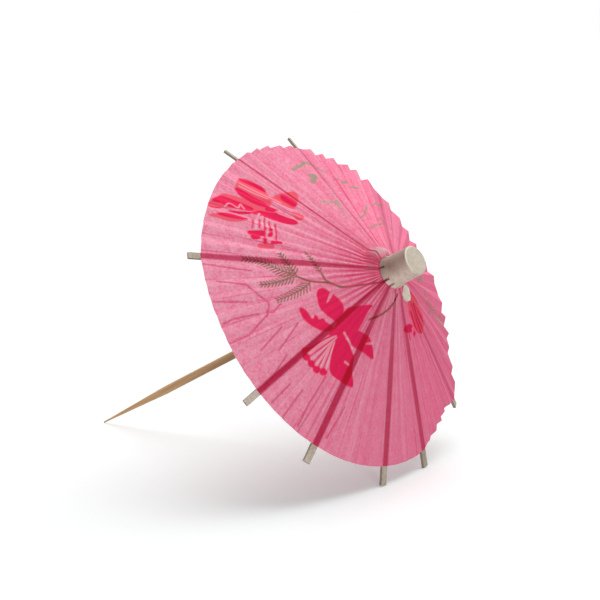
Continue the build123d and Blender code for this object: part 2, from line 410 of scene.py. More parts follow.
def tissue_paper():
    """Printed pink tissue: fibres, painted shade and highlights on creases, ruffle and one side, and the ribs'
    painted shadows.
    """
    finish = Finish(bpy.data.materials.new("pink_tissue"))
    sheet = finish.node("Attribute", {"attribute_name": "sheet_place"}, output="Vector")
    fibre = finish.noise(sheet, 1.6, detail=5.0, roughness=0.8)
    cloud = finish.noise(sheet, 0.45, detail=3.0)
    tone = (fibre * 0.75 + cloud * 0.25).between(0.41, 0.59)
    colour = finish.mix(tone, PAPER_DEEP, PAPER_LIGHT)
    # painted shade: a richer, deeper pink over one side of the canopy
    colour = finish.mix(finish.mark("painted_side_shade") * SIDE_SHADE_STRENGTH, colour, PAPER_SIDE_SHADE)
    # pale torn paper, and painted highlight on the ruffle's crests and on the pale creases
    colour = finish.mix(finish.mark("torn"), colour, PAPER_TORN_AND_HIGHLIGHT)
    worn = fibre.between(0.3, 0.5) * 0.1 + 0.88
    colour = finish.mix(finish.mark("coral") * worn, colour, PRINT_CORAL)
    colour = finish.mix(finish.mark("crimson") * worn, colour, PRINT_CRIMSON)
    colour = finish.mix(finish.mark("pale") * PALE_STRENGTH, colour, PRINT_PALE)
    colour = finish.mix(finish.mark("sage") * SAGE_STRENGTH, colour, PRINT_SAGE)
    colour = finish.mix(finish.mark("olive") * worn, colour, PRINT_OLIVE)
    # painted shade along the creases and wrinkles, and round the cap
    colour = finish.mix(finish.mark("crease") * CREASE_SHADE_STRENGTH, colour, PAPER_CREASE_SHADE)
    # painted shadows of the ribs under the paper
    colour = finish.mix(finish.mark("over_rib"), colour, RIB_SHADOW_TINT, blend="MULTIPLY")
    normal = finish.bump(fibre * 0.5 - finish.mark("crease") * 0.5, 0.05 * MM, 0.5)
    front = finish.principled(colour, fibre * 0.1 + 0.75, normal, specular=0.2)
    back = finish.node("BsdfTranslucent", inputs={"Color": PAPER_THROUGH, "Normal": normal})
    # the light through the paper is also darkened over the ribs: painted shadow
    shades = {"coral": PRINT_CORAL, "crimson": PRINT_CRIMSON, "over_rib": RIB_SHADE}
    for mark, through in shades.items():
        shade = finish.node("BsdfTranslucent", inputs={"Color": through, "Normal": normal})
        back = finish.node("MixShader", inputs={0: finish.mark(mark), 1: back, 2: shade})
    return finish.surface(finish.node("MixShader", inputs={0: TRANSLUCENT_SHARE, 1: front, 2: back}))


def along_stick(finish, place, squeeze):
    """Height along the stick, and the place squeezed along it so that grain runs lengthwise."""
    offset = finish.vector("SUBTRACT", {0: place, 1: tuple(stick_point)})
    height = finish.vector("DOT_PRODUCT", {0: offset, 1: tuple(stick_up)}, output="Value")
    shift = finish.vector("SCALE", {0: tuple(stick_up), "Scale": height * (1 - squeeze)})
    return height, finish.vector("SUBTRACT", {0: offset, 1: shift})


def skewer_wood():
    """Tan skewer: fine lengthwise grain, with a grey worn point."""
    finish = Finish(bpy.data.materials.new("skewer_wood"))
    height, grain_place = along_stick(finish, finish.place(), 0.04)
    grain = finish.noise(grain_place, 2200.0, detail=3.0)
    band = finish.noise(grain_place, 500.0, detail=2.0)
    tone = (grain * 0.5 + band * 0.5).between(0.36, 0.64)
    colour = finish.mix(tone, SKEWER_DARK, SKEWER_LIGHT)
    tip = 1 - height.between(*WORN_POINT)
    colour = finish.mix(tip * 0.6, colour, SKEWER_POINT)
    normal = finish.bump(grain, 0.02 * MM, 0.5)
    return finish.surface(finish.principled(colour, grain * 0.2 + 0.45, normal))


def rib_card():
    """Grey-beige strip with painted shade on its sides: fine fibre, with a slow change of tone from rib to rib."""
    finish = Finish(bpy.data.materials.new("rib_card"))
    place = finish.place()
    fibre = finish.noise(place, 1800.0, detail=3.0)
    slow = finish.noise(place, 55.0, detail=1.0)
    tone = (fibre * 0.4 + slow * 0.6).between(0.36, 0.64)
    colour = finish.mix(tone, RIB_DARK, RIB_LIGHT)
    faces = finish.node("TexCoord", output="Normal")
    flat = finish.vector("DOT_PRODUCT", {0: faces, 1: tuple(stick_up)}, output="Value")
    # painted shade on the strip's sides and ends, from the way each face points
    shaded_sides = 1 - flat.size().between(0.2, 0.6)
    colour = finish.mix(shaded_sides * 0.4, colour, RIB_SIDE_SHADE)
    normal = finish.bump(fibre, 0.02 * MM, 0.5)
    return finish.surface(finish.principled(colour, fibre * 0.2 + 0.6, normal))


def cap_card():
    """Cream wound card: faint winding lines and a painted shade on the end face, a painted highlight on its rim,
    and a brown stain on one side.
    """
    finish = Finish(bpy.data.materials.new("cap_card"))
    place = finish.place()
    height, across = along_stick(finish, place, 0.0)
    radius = finish.vector("LENGTH", {0: across}, output="Value")
    stain_side = stick_low * math.cos(CAP_STAIN_ANGLE) + stick_side * math.sin(CAP_STAIN_ANGLE)
    stain = finish.vector("DOT_PRODUCT", {0: across, 1: tuple(stain_side)}, output="Value")
    fibre = finish.noise(place, 1200.0, detail=4.0, roughness=0.6)
    cloud = finish.noise(place, 330.0, detail=2.0)
    winding = (radius * WINDING_RATE + cloud * 6.0).sine() * 0.5 + 0.5
    end_face = height.between(*(cap_end_height - depth for depth in CAP_END_DEPTH))
    tone = (fibre * 0.6 + cloud * 0.4).between(0.36, 0.66)
    colour = finish.mix(tone, CAP_DARK, CAP_LIGHT)
    stained = (stain + cloud * 2 * MM).between(*CAP_STAIN_REACH) * (1 - end_face)
    colour = finish.mix(stained * 0.85, colour, CAP_STAIN)
    # winding lines, and a painted shade over the whole end face
    colour = finish.mix(end_face * winding * 0.2 + end_face * 0.3, colour, CAP_WINDING_AND_SHADE)
    # painted highlight along the end face's rim, on the stained side
    rim = end_face * radius.between(*CAP_HIGHLIGHT_RADIUS) * stain.between(*CAP_HIGHLIGHT_REACH)
    colour = finish.mix(rim * 0.7, colour, CAP_RIM_HIGHLIGHT)
    normal = finish.bump(fibre + end_face * winding * 0.4, 0.03 * MM, 0.5)
    return finish.surface(finish.principled(colour, fibre * 0.2 + 0.55, normal))


def rolled_paper(name, dark, light):
    """Rolled paper sleeve: fine fibre, and a slower change of tone."""
    finish = Finish(bpy.data.materials.new(name))
    place = finish.place()
    fibre = finish.noise(place, 1800.0, detail=4.0, roughness=0.7)
    wrap = finish.noise(place, 420.0, detail=2.0)
    tone = (fibre * 0.6 + wrap * 0.4).between(0.35, 0.65)
    colour = finish.mix(tone, dark, light)
    normal = finish.bump(fibre * 0.5 + wrap * 0.5, 0.05 * MM, 0.5)
    return finish.surface(finish.principled(colour, fibre * 0.15 + 0.75, normal, specular=0.2))


def ring_plastic():
    """White moulded ring, slightly marbled."""
    finish = Finish(bpy.data.materials.new("ring_plastic"))
    place = finish.place()
    cloud = finish.noise(place, 500.0)
    grain = finish.noise(place, 4000.0, detail=2.0)
    colour = finish.mix(cloud.between(0.35, 0.65), RING_DARK, RING_LIGHT)
    normal = finish.bump(grain, 0.01 * MM, 0.4)
    return finish.surface(finish.principled(colour, cloud * 0.15 + 0.35, normal, specular=0.5))


def background_rays(finish):
    """1 on rays that show the background: the camera's own, and those sent on by gloss or glass."""
    kinds = ("Is Camera Ray", "Is Glossy Ray", "Is Transmission Ray")
    camera, glossy, through = (finish.node("LightPath", output=kind) for kind in kinds)
    return (camera + glossy + through).between(0.0, 1.0)


def white_floor():
    """Floor that shows white where the light is even, keeps the shadow and throws little light back."""
    finish = Finish(bpy.data.materials.new("white_floor"))
    matt = finish.node("BsdfDiffuse", inputs={"Color": FLOOR_COLOUR})
    glow = finish.node("Emission", inputs={"Color": WHITE, "Strength": FLOOR_GLOW})
    shown = finish.node("AddShader", inputs={0: matt, 1: glow})
    dim = finish.node("BsdfDiffuse", inputs={"Color": FLOOR_BOUNCE})
    mixed = finish.node("MixShader", inputs={0: background_rays(finish), 1: dim, 2: shown})
    return finish.surface(mixed)


# Print on the paper: each colour is a plate of its own, drawn on the flat sheet in millimetres,
# with X towards the side that lies lowest

PRINT_EDGE = 0.2
STEM_WIDTH = 0.42
TENDRIL_WIDTH = 0.42
LEAFLET_WIDTH = 0.24
LEAFLET_STEP = 0.74
LEAFLET_ANGLE = math.radians(48)
LEAFLET_SHORTENING = 0.6
# Length of spine over which a leaflet's direction is taken
HEADING_STEP = 0.1
# Pale ghost of the fronds, printed a little out of place
GHOST_SLIP = (0.22, 0.26)
GHOST_SHARE = 0.4

# Petals, as outlines: the near blossom, then the upper one, then the small one beside the cap
CRIMSON_SHAPES = (
    ((-0.8, -22.0), (0.3, -21.0), (2.4, -20.5), (1.9, -19.7), (2.4, -19.3), (3.1, -19.3), (3.3, -18.3),
     (4.3, -18.0), (5.8, -16.9), (6.4, -17.9), (5.2, -20.1), (2.9, -21.8), (0.6, -22.4)),
    ((-2.4, -17.3), (-2.8, -15.9), (-1.6, -14.9), (1.4, -13.5), (3.6, -13.7), (5.3, -15.7),
     (2.1, -17.9), (-0.1, -18.1)),
    ((6.2, -17.1), (3.5, -13.3), (3.6, -11.2), (4.8, -7.3), (5.8, -8.6), (8.6, -11.8),
     (9.5, -13.4), (7.2, -18.2)),
    ((8.2, -14.2), (8.6, -11.8), (9.8, -10.3), (11.4, -9.1), (15.4, -8.9), (13.2, -11.6),
     (10.8, -14.0)),
    ((8.6, -17.3), (8.4, -15.3), (12.7, -13.8), (15.8, -14.8), (19.1, -15.4), (16.4, -18.7),
     (14.2, -20.1), (11.7, -19.2)),
    ((7.1, -17.3), (7.7, -22.5), (7.3, -24.5), (8.2, -25.0), (8.6, -23.9), (7.7, -18.3)),
    ((-30.7, -15.9), (-26.6, -13.9), (-24.7, -13.2), (-23.7, -14.1), (-25.3, -15.8),
     (-27.7, -17.0), (-29.4, -17.3)),
    ((-32.6, -13.0), (-28.9, -10.6), (-27.4, -10.8), (-29.6, -12.2), (-31.8, -13.6)),
    ((-25.5, -8.0), (-24.2, -6.9), (-22.4, -6.5), (-21.7, -7.9), (-23.2, -8.8), (-24.7, -9.2)),
    ((-30.0, -23.2), (-30.1, -21.9), (-28.8, -21.5), (-28.5, -22.4), (-29.5, -23.5)),
    ((-30.3, -20.9), (-28.6, -19.3), (-24.9, -16.8), (-24.7, -18.6), (-27.4, -21.8), (-29.6, -22.6)),
    ((-29.0, -25.2), (-27.6, -22.9), (-27.7, -24.0), (-28.7, -25.2)),
    ((-26.5, -22.0), (-25.0, -19.7), (-23.9, -17.7), (-23.7, -18.5), (-24.9, -20.7), (-26.0, -22.1)),
    ((-26.6, -24.7), (-25.7, -22.7), (-23.0, -19.8), (-23.3, -21.4), (-24.5, -23.1), (-26.0, -24.7)),
    ((-23.9, -18.3), (-24.0, -16.4), (-22.8, -14.7), (-20.8, -11.8), (-18.2, -10.7),
     (-18.3, -12.3), (-22.3, -17.0)),
    ((-24.2, -14.0), (-23.4, -12.8), (-22.4, -12.1), (-22.2, -13.7), (-23.3, -14.9)),
    ((12.1, 1.5), (11.3, 3.4), (11.8, 5.9), (13.1, 5.2), (12.9, 2.8)),
)
CORAL_SHAPES = (
    ((-32.6, -13.0), (-28.9, -10.6), (-26.9, -10.6), (-24.7, -11.9), (-23.7, -14.1),
     (-25.3, -15.8), (-29.4, -17.3)),
    ((-25.7, -11.9), (-25.6, -6.8), (-25.2, -4.7), (-23.5, -4.8), (-21.5, -8.4), (-22.8, -10.1),
     (-24.5, -11.4)),
    ((-30.0, -23.5), (-30.5, -21.1), (-29.7, -18.9), (-23.3, -14.2), (-23.5, -16.8),
     (-26.5, -21.1), (-29.0, -25.2)),
    ((-27.2, -26.7), (-25.7, -22.7), (-23.0, -19.8), (-23.0, -22.0), (-24.1, -24.0), (-25.7, -25.5)),
    ((-20.9, -10.2), (-20.3, -8.3), (-19.0, -7.9), (-18.2, -9.8), (-19.5, -10.2)),
    ((4.6, 6.5), (6.2, 10.2), (8.8, 13.0), (11.6, 13.6), (13.9, 11.7), (13.4, 8.4), (9.3, 4.5),
     (6.7, 4.8)),
)
# Notches in two petals of the near blossom
PALE_SHAPES = (
    ((-1.1, -14.9), (-0.5, -14.6), (0.6, -16.4)),
    ((12.0, -8.9), (12.4, -8.9), (11.8, -10.6)),
)
# Lines, as a width and points: the stamens' threads and anthers, and pale streaks
CRIMSON_LINES = (
    (0.3, (8.0, -16.9), (9.5, -23.5)),
    (0.3, (8.2, -17.2), (11.0, -23.0)),
    (0.3, (8.5, -17.5), (12.2, -22.3)),
    (0.3, (8.8, -17.7), (13.0, -21.3)),
    (0.8, (9.4, -24.4), (11.1, -23.7), (12.7, -22.9)),
    (1.5, (9.3, -24.5), (9.5, -24.3)),
    (1.4, (11.0, -23.8), (11.2, -23.6)),
    (1.5, (12.6, -23.0), (12.8, -22.8)),
    (1.5, (13.6, -21.7), (13.8, -21.4)),
    (0.35, (-22.5, -19.0), (-20.8, -20.6)),
    (0.35, (-21.8, -17.8), (-20.2, -19.3)),
    (0.4, (-21.7, -16.8), (-17.9, -19.6)),
    (0.4, (-20.6, -16.5), (-18.5, -17.5)),
    (0.4, (-19.6, -15.6), (-16.2, -18.0)),
    (1.4, (-19.9, -21.7), (-18.9, -19.5)),
    (1.3, (-18.8, -21.8), (-18.5, -21.0)),
    (0.9, (-17.4, -20.0), (-16.8, -20.4)),
    (0.9, (-19.1, -17.9), (-18.6, -16.9)),
    (0.9, (-17.9, -18.3), (-18.0, -17.7)),
    (0.8, (-16.1, -19.1), (-15.4, -17.6)),
    (0.7, (9.0, 5.6), (11.2, 6.8), (13.3, 8.6)),
    (0.9, (7.9, 6.6), (10.6, 8.3), (13.6, 10.4)),
    (0.8, (7.7, 8.0), (10.3, 9.6), (13.0, 11.7)),
    (0.6, (8.2, 9.3), (9.9, 10.8), (11.6, 12.7)),
    (0.6, (12.9, 3.8), (14.4, 4.3)),
    (0.6, (12.8, 6.9), (14.5, 6.5)),
)
CORAL_LINES = ((1.3, (-16.4, -21.7), (-15.5, -19.8)),)
PALE_LINES = (
    (0.4, (7.9, -15.0), (9.1, -14.6), (10.6, -14.2), (12.6, -13.8)),
    (0.4, (13.6, -16.2), (14.5, -15.4)),
    (0.28, (7.8, -16.9), (7.9, -20.2), (8.7, -23.7)),
    (0.28, (8.2, -17.0), (9.2, -20.1), (10.3, -23.4)),
    (0.28, (8.3, -17.4), (10.2, -20.4), (11.8, -22.7)),
    (0.28, (8.6, -17.8), (10.8, -20.3), (12.6, -21.9)),
    (0.28, (8.9, -17.6), (11.2, -19.3), (13.5, -20.8)),
    (0.3, (-31.4, -14.6), (-28.8, -13.1), (-26.0, -11.5), (-23.7, -10.2)),
    (0.3, (-30.8, -15.3), (-28.1, -13.8), (-25.6, -12.3)),
    (0.3, (-27.5, -22.2), (-27.7, -20.7), (-26.1, -20.0), (-26.8, -18.5), (-25.4, -18.8)),
    (0.3, (-21.6, -13.0), (-19.4, -11.2), (-18.1, -9.3)),
    (0.3, (-20.7, -10.3), (-19.0, -9.1)),
    (0.4, (-23.2, -16.6), (-22.3, -18.2), (-20.3, -20.1)),
    (0.4, (-22.3, -16.7), (-19.9, -18.7)),
    (0.4, (-21.5, -16.2), (-18.6, -18.4)),
    (0.4, (-20.3, -15.7), (-17.6, -17.5)),
)
# Sage tendrils and leaves on the far side, and a sprig on the side away from the camera
SAGE_LINES = (
    (0.75, (-30.5, 2.2), (-30.6, 4.5), (-30.9, 7.7), (-30.6, 9.6), (-29.8, 10.4)),
    (TENDRIL_WIDTH, (-29.8, 10.4), (-26.2, 12.4), (-23.8, 16.7), (-21.3, 19.5), (-17.7, 17.0),
     (-14.9, 10.6), (-14.5, 6.3)),
    (0.7, (-23.9, 15.9), (-22.5, 18.2), (-21.0, 20.1)),
    (1.1, (-28.1, 5.3), (-26.9, 6.1), (-26.0, 3.6)),
    (TENDRIL_WIDTH, (-17.5, 19.5), (-16.9, 23.6), (-16.7, 29.4)),
    (TENDRIL_WIDTH, (-17.5, 19.5), (-15.0, 16.8), (-13.3, 16.9), (-12.4, 20.0), (-8.3, 20.0)),
    (TENDRIL_WIDTH, (-11.3, 6.6), (-11.7, 11.4), (-11.8, 17.1)),
    (TENDRIL_WIDTH, (-3.0, 14.0), (2.0, 18.0), (9.0, 24.0)),
    (0.7, (3.0, 19.0), (2.6, 21.0), (2.4, 24.0)),
    (0.7, (6.0, 21.4), (8.4, 21.0), (10.6, 20.0)),
)
OLIVE_LINES = (
    (STEM_WIDTH, (1.3, -3.4), (0.0, -8.0), (-1.3, -12.1), (-3.1, -13.9), (-5.0, -17.2), (-7.1, -19.3)),
    (STEM_WIDTH, (-3.1, -13.9), (-4.2, -14.4), (-5.6, -14.4)),
    (STEM_WIDTH, (4.7, -0.2), (6.6, -2.5), (7.4, -5.6), (7.4, -8.6)),
)
# Fern fronds: the plate, the longest leaflet and the spine's points
FRONDS = (
    ("olive", 1.9, (-7.1, -19.3), (-10.1, -21.8), (-13.1, -23.9), (-15.2, -26.8)),
    ("olive", 1.6, (-7.1, -19.3), (-7.5, -22.4), (-7.9, -25.0), (-8.6, -27.2)),
    ("olive", 1.8, (-5.0, -17.2), (-4.4, -18.9), (-4.0, -22.0), (-4.1, -25.6)),
    ("olive", 1.5, (-7.1, -19.3), (-9.4, -19.3), (-11.7, -19.5), (-13.1, -19.5)),
    ("olive", 0.9, (-5.6, -14.4), (-7.2, -14.4), (-9.7, -14.4), (-11.4, -14.5)),
    ("sage", 0.9, (-14.3, 2.4), (-16.2, 2.6), (-18.1, 3.5), (-19.9, 5.0), (-21.7, 5.5)),
    ("sage", 0.9, (-19.6, 5.0), (-20.3, 1.4), (-21.0, 0.0)),
    ("sage", 1.9, (9.0, 24.0), (12.0, 27.5), (12.5, 32.0)),
)
# Sharp wrinkles in the near gap, then long creases in the gap below it, painted as lines of shade
WRINKLE_WIDTH = 0.4
WRINKLE_SHADE_DEPTH = 0.85
WRINKLES = (
    ((-12.9, -34.3), (-9.7, -29.5), (-6.7, -28.5), (-4.7, -27.3), (-3.4, -27.7), (-1.7, -29.0)),
    ((-3.1, -25.3), (-2.1, -27.3), (-2.7, -28.6)),
    ((-3.9, -37.8), (-4.1, -35.5), (-3.0, -30.2)),
    ((-2.0, -28.9), (0.4, -34.0), (0.4, -38.3)),
    ((-9.1, -37.3), (-6.3, -31.3)),
    ((-17.5, -34.9), (-12.1, -27.0)),
    ((2.1, -23.6), (5.8, -29.4)),
    ((1.6, -27.2), (4.3, -32.9)),
    ((18.9, -32.7), (15.5, -27.2)),
    ((21.9, -29.9), (18.7, -26.5), (14.8, -21.4)),
    ((15.3, -34.4), (13.3, -29.5)),
    ((10.6, -32.9), (7.4, -28.3)),
    ((26.7, -23.6), (22.3, -18.1)),
)


def soft_edge(inside):
    """A printed mask from a distance inside the shape."""
    return np.clip(0.5 + inside / PRINT_EDGE, 0, 1)


def smooth_line(points, closed=False, per_span=6):
    """A smooth line through points."""
    points = [np.array(point, float) for point in points]
    if closed:
        ends = [points[-1], *points, points[0], points[1]]
    else:
        ends = [2 * points[0] - points[1], *points, 2 * points[-1] - points[-2]]
    line = []
    for a, b, c, d in zip(ends, ends[1:], ends[2:], ends[3:]):
        for step in range(per_span):
            t = step / per_span
            bend = (2 * a - 5 * b + 4 * c - d) * t**2 + (3 * b - 3 * c + d - a) * t**3
            line.append(b + 0.5 * ((c - a) * t + bend))
    return np.array(line + [ends[-2]])


def spots_near(sheet, line, reach):
    """Which points of the sheet lie in a line's box, widened by a reach."""
    return np.all((sheet > line.min(axis=0) - reach) & (sheet < line.max(axis=0) + reach), axis=1)


def line_distance(spots, line):
    """Distance from every spot to a line."""
    distance = np.full(len(spots), np.inf)
    for start, end in zip(line, line[1:]):
        run = end - start
        share = np.clip((spots - start) @ run / (run @ run), 0, 1)
        distance = np.minimum(distance, np.linalg.norm(spots - start - share[:, None] * run, axis=1))
    return distance


def inside_outline(spots, line):
    """Which spots a closed line goes round."""
    inside = np.zeros(len(spots), bool)
    x, y = spots.T
    for (x1, y1), (x2, y2) in zip(line, line[1:]):
        level = (y1 > y) != (y2 > y)
        inside ^= level & (x < x1 + (y - y1) * (x2 - x1) / (y2 - y1 if y2 != y1 else 1))
    return inside


def stroke(sheet, line, width):
    """Mask of a printed line."""
    line = np.array(line, float)
    mask = np.zeros(len(sheet))
    near = spots_near(sheet, line, width / 2 + PRINT_EDGE)
    mask[near] = soft_edge(width / 2 - line_distance(sheet[near], line))
    return mask


def filled(sheet, outline):
    """Mask of a printed shape with a smooth outline."""
    line = smooth_line(outline, closed=True)
    mask = np.zeros(len(sheet))
    near = spots_near(sheet, line, PRINT_EDGE)
    distance = line_distance(sheet[near], line)
    mask[near] = soft_edge(np.where(inside_outline(sheet[near], line), distance, -distance))
    return mask


def frond(sheet, spine, reach):
    """Mask of a fern frond: a fine spine with leaflets that shorten towards its tip."""
    line = smooth_line(spine)
    travelled = np.concatenate([[0], np.cumsum(np.linalg.norm(np.diff(line, axis=0), axis=1))])
    mask = stroke(sheet, line, LEAFLET_WIDTH)
    for place in np.arange(LEAFLET_STEP, travelled[-1], LEAFLET_STEP):
        base, ahead = (
            np.array([np.interp(spot, travelled, line[:, axis]) for axis in (0, 1)])
            for spot in (place - HEADING_STEP, place)
        )
        heading = math.atan2(*(ahead - base)[::-1])
        length = reach * (1 - LEAFLET_SHORTENING * place / travelled[-1])
        for turn in (-LEAFLET_ANGLE, LEAFLET_ANGLE):
            tip = base + length * np.array([math.cos(heading + turn), math.sin(heading + turn)])
            mask = np.maximum(mask, stroke(sheet, [base, tip], LEAFLET_WIDTH))
    return mask


def draw_print(sheet):
    """All printed colours at the sheet's points."""
    shapes = {"crimson": CRIMSON_SHAPES, "coral": CORAL_SHAPES, "pale": PALE_SHAPES}
    lines = {
        "crimson": CRIMSON_LINES,
        "coral": CORAL_LINES,
        "pale": PALE_LINES,
        "sage": SAGE_LINES,
        "olive": OLIVE_LINES,
    }
    plates = {}
    for plate, plate_lines in lines.items():
        masks = [filled(sheet, outline) for outline in shapes.get(plate, ())]
        masks += [stroke(sheet, smooth_line(points), width) for width, *points in plate_lines]
        plates[plate] = np.max(masks, axis=0)
    for plate, reach, *spine in FRONDS:
        plates[plate] = np.maximum(plates[plate], frond(sheet, spine, reach))
        ghost = GHOST_SHARE * frond(sheet - GHOST_SLIP, spine, reach)
        plates["pale"] = np.maximum(plates["pale"], ghost)
    return plates


# Pleated paper canopy

chance = np.random.default_rng(SEED)


def gap_folds(start, gap, height):
    """Folds of the paper from one rib to the next, as angles and heights; it lies flat on the ribs."""
    facets = 2 * max(1, round((gap / 2 - GLUED_ANGLE) / PLEAT_ANGLE))
    step = (gap - 2 * GLUED_ANGLE) / facets
    angles, heights = [start, start + GLUED_ANGLE], [0.0, 0.0]
    for i in range(1, facets):
        angles.append(start + GLUED_ANGLE + step * (i + chance.uniform(-PLEAT_SHIFT, PLEAT_SHIFT)))
        heights.append((1 if i % 2 else -1) * height * MM * chance.uniform(*PLEAT_SPREAD))
    return angles + [start + gap - GLUED_ANGLE], heights + [0.0]


fold_angles, fold_heights = [], []
for rib_angle, gap, pleat_height in zip(rib_angles, rib_gaps, PLEAT_HEIGHTS):
    gap_angles, gap_heights = gap_folds(rib_angle, gap, pleat_height)
    fold_angles += gap_angles
    fold_heights += gap_heights
fold_angles = np.array(fold_angles)
fold_heights = np.array(fold_heights)
crease_angles = np.concatenate([fold_angles, chance.uniform(0, 360, FINE_CREASES)])
crease_tones = chance.uniform(-1, 1, len(crease_angles))
crease_phases = chance.uniform(0, PHASE_RANGE, len(crease_angles))


def waves(count, shortest, longest):
    """Gentle waves over the sheet: their turn per millimetre along X and Y, and their phases."""
    lengths = chance.uniform(shortest, longest, count)
    headings = chance.uniform(0, 2 * np.pi, count)
    ways = np.stack([np.cos(headings), np.sin(headings)])
    return ways * 2 * np.pi / lengths, chance.uniform(0, PHASE_RANGE, count)


rumple_waves, rumple_phases = waves(RUMPLE_COUNT, *RUMPLE_LENGTHS)
rim_phases = chance.uniform(0, PHASE_RANGE, len(RIM_WAVES))


def turn_between(angle, centres):
    """Signed turn from each centre to each angle, in degrees."""
    return (np.asarray(angle)[..., None] - np.asarray(centres) + 180) % 360 - 180


def rib_below(angle, radius):
    """Distance across from the nearest rib's middle, its half width there, and its number from 0."""
    turn = np.abs(turn_between(angle, rib_angles))
    nearest = turn.argmin(axis=-1)
    reach = np.clip((radius - hinge_radius) / math.cos(RIB_SLOPE) / RIB_TAPER_LENGTH, 0, 1)
    half_width = RIB_ROOT_HALF_WIDTH + (rib_half_widths[nearest] - RIB_ROOT_HALF_WIDTH) * reach
    return radius * np.sin(np.radians(np.minimum(turn.min(axis=-1), 90))), half_width, nearest


def ruffle_wave(angle, radius):
    """Share of the ruffle's height: the gathered paper stands up round the cap, most on one side."""
    turn = np.radians(angle)
    wave = 0.5 + 0.5 * np.sin(turn * RUFFLE_COUNT + RUFFLE_SWAY * np.sin(turn * RUFFLE_SWAYS))
    away = turn_between(angle, [RUFFLE_ANGLE])[..., 0] / RUFFLE_SPREAD
    side = RUFFLE_LEAST + (1 - RUFFLE_LEAST) * np.exp(-(away**2))
    return wave * side * np.exp(-(((radius - RUFFLE_RADIUS) / RUFFLE_WIDTH) ** 2))


def paper_height(angle, radius, sheet):
    """Height of the paper over its plain cone: pleats, crown ruffle, and rumples off the ribs."""
    pleat = np.interp(angle, fold_angles, fold_heights, period=360)
    pleat = pleat * (CROWN_SHARE + (1 - CROWN_SHARE) * radius / PAPER_RADIUS)
    rumple = np.sin(sheet @ rumple_waves + rumple_phases).mean(axis=1) * len(rumple_phases) ** 0.5
    across, half_width, _ = rib_below(angle, radius)
    loose = np.clip((across - half_width) / RUMPLE_REACH, 0, 1)
    return pleat + RUFFLE_HEIGHT * ruffle_wave(angle, radius) + rumple * RUMPLE_HEIGHT * loose


def strip_columns(first, last):
    """Angles of the mesh's columns from one angle to another, with one on every fold."""
    inner = np.sort(np.concatenate([fold_angles - 360, fold_angles, fold_angles + 360]))
    between = (inner > first + SAME_ANGLE) & (inner < last - SAME_ANGLE)
    stops = np.concatenate([[first], inner[between], [last]])
    columns = [first]
    for a, b in zip(stops, stops[1:]):
        steps = max(2, math.ceil(math.radians(b - a) * PAPER_RADIUS / COLUMN_STEP))
        columns.extend(a + (b - a) * (i + 1) / steps for i in range(steps))
    return np.array(columns)


def rim_radius(angle):
    """Radius of the cut rim, a little uneven."""
    cut_angles, cut_offsets = np.transpose(RIM_OFFSETS)
    wobble = np.sin(np.radians(angle)[:, None] * RIM_WAVES + rim_phases).mean(axis=1)
    cut = MM * np.interp(angle, cut_angles, cut_offsets, period=360)
    return PAPER_RADIUS * (1 + RIM_WOBBLE * wobble) + cut


def paper_points(angle, radius, height):
    """Points of the paper in the part's frame."""
    turn = np.radians(angle)[:, None]
    outward = np.cos(turn) * np.array(stick_low) + np.sin(turn) * np.array(stick_side)
    rise = paper_apex - radius * math.tan(RIB_SLOPE) + height * math.cos(RIB_SLOPE)
    reach = radius + height * math.sin(RIB_SLOPE)
    return np.array(stick_point) + rise[:, None] * np.array(stick_up) + reach[:, None] * outward


def painted_crease_lines(angle, radius, sheet):
    """Masks of the painted shade and the painted highlights along the creases, which fade in and out along the
    sheet, and of the wrinkles' painted shade.
    """
    turn = np.abs(turn_between(angle, crease_angles))
    nearest = turn.argmin(axis=1)
    distance = np.radians(turn.min(axis=1)) * radius / MM
    swing = np.sin(radius / MM * FADE_RATE + crease_phases[nearest])
    fade = FADE_LEAST + (1 - FADE_LEAST) * swing**2
    tone = np.exp(-((distance / FINE_CREASE_WIDTH) ** 2)) * crease_tones[nearest] * fade
    dark = np.clip(tone, 0, 1)
    for wrinkle in WRINKLES:
        dark = np.maximum(dark, WRINKLE_SHADE_DEPTH * stroke(sheet, wrinkle, WRINKLE_WIDTH))
    return dark, np.clip(-tone, 0, 1)


def painted_crown_shade(angle, radius):
    """Painted shade of the gathered paper on one side of the cap, with its folds."""
    side = np.clip(np.cos(np.radians(angle - CROWN_SHADE_ANGLE)), 0, 1)
    folds = 1 - CROWN_FOLD_DEPTH + CROWN_FOLD_DEPTH * np.sin(np.radians(angle) * RUFFLE_COUNT)
    return side * folds * np.exp(-((radius / CROWN_SHADE_RADIUS) ** 2))


def paper_marks(angle, radius, sheet):
    """Everything that the tissue finish reads from the sheet's points."""
    marks = draw_print(sheet)
    across, half_width, nearest = rib_below(angle, radius)
    outward = np.clip((radius - hinge_radius) / RIB_TAPER_LENGTH, 0, 1)
    over_rib = np.clip(0.5 + (half_width - across) / RIB_EDGE, 0, 1)
    shown = np.array(RIB_SHADOW_STRENGTH)[nearest] * (RIB_ROOT_SHADOW + (1 - RIB_ROOT_SHADOW) * outward)
    dark, pale = painted_crease_lines(angle, radius, sheet)
    # painted shade round the cap on one side, carried in the crease mark
    crown = np.clip(CROWN_SHADE_DEPTH * painted_crown_shade(angle, radius), 0, 1)
    ruffle = np.clip(RUFFLE_HIGHLIGHT * ruffle_wave(angle, radius), 0, 1)
    # painted shadow of each rib on the paper
    marks["over_rib"] = over_rib * shown
    # painted shade of the creases, the wrinkles and the crown
    marks["crease"] = np.maximum(dark, crown)
    # painted shade over one side of the canopy, strongest towards its angle
    marks["painted_side_shade"] = 0.5 + 0.5 * np.cos(np.radians(angle - SIDE_SHADE_ANGLE))
    # torn paper with painted highlight on the ruffle, and painted crease highlights
    marks["torn"] = np.maximum(ruffle, CREASE_HIGHLIGHTS * pale)
    return marks


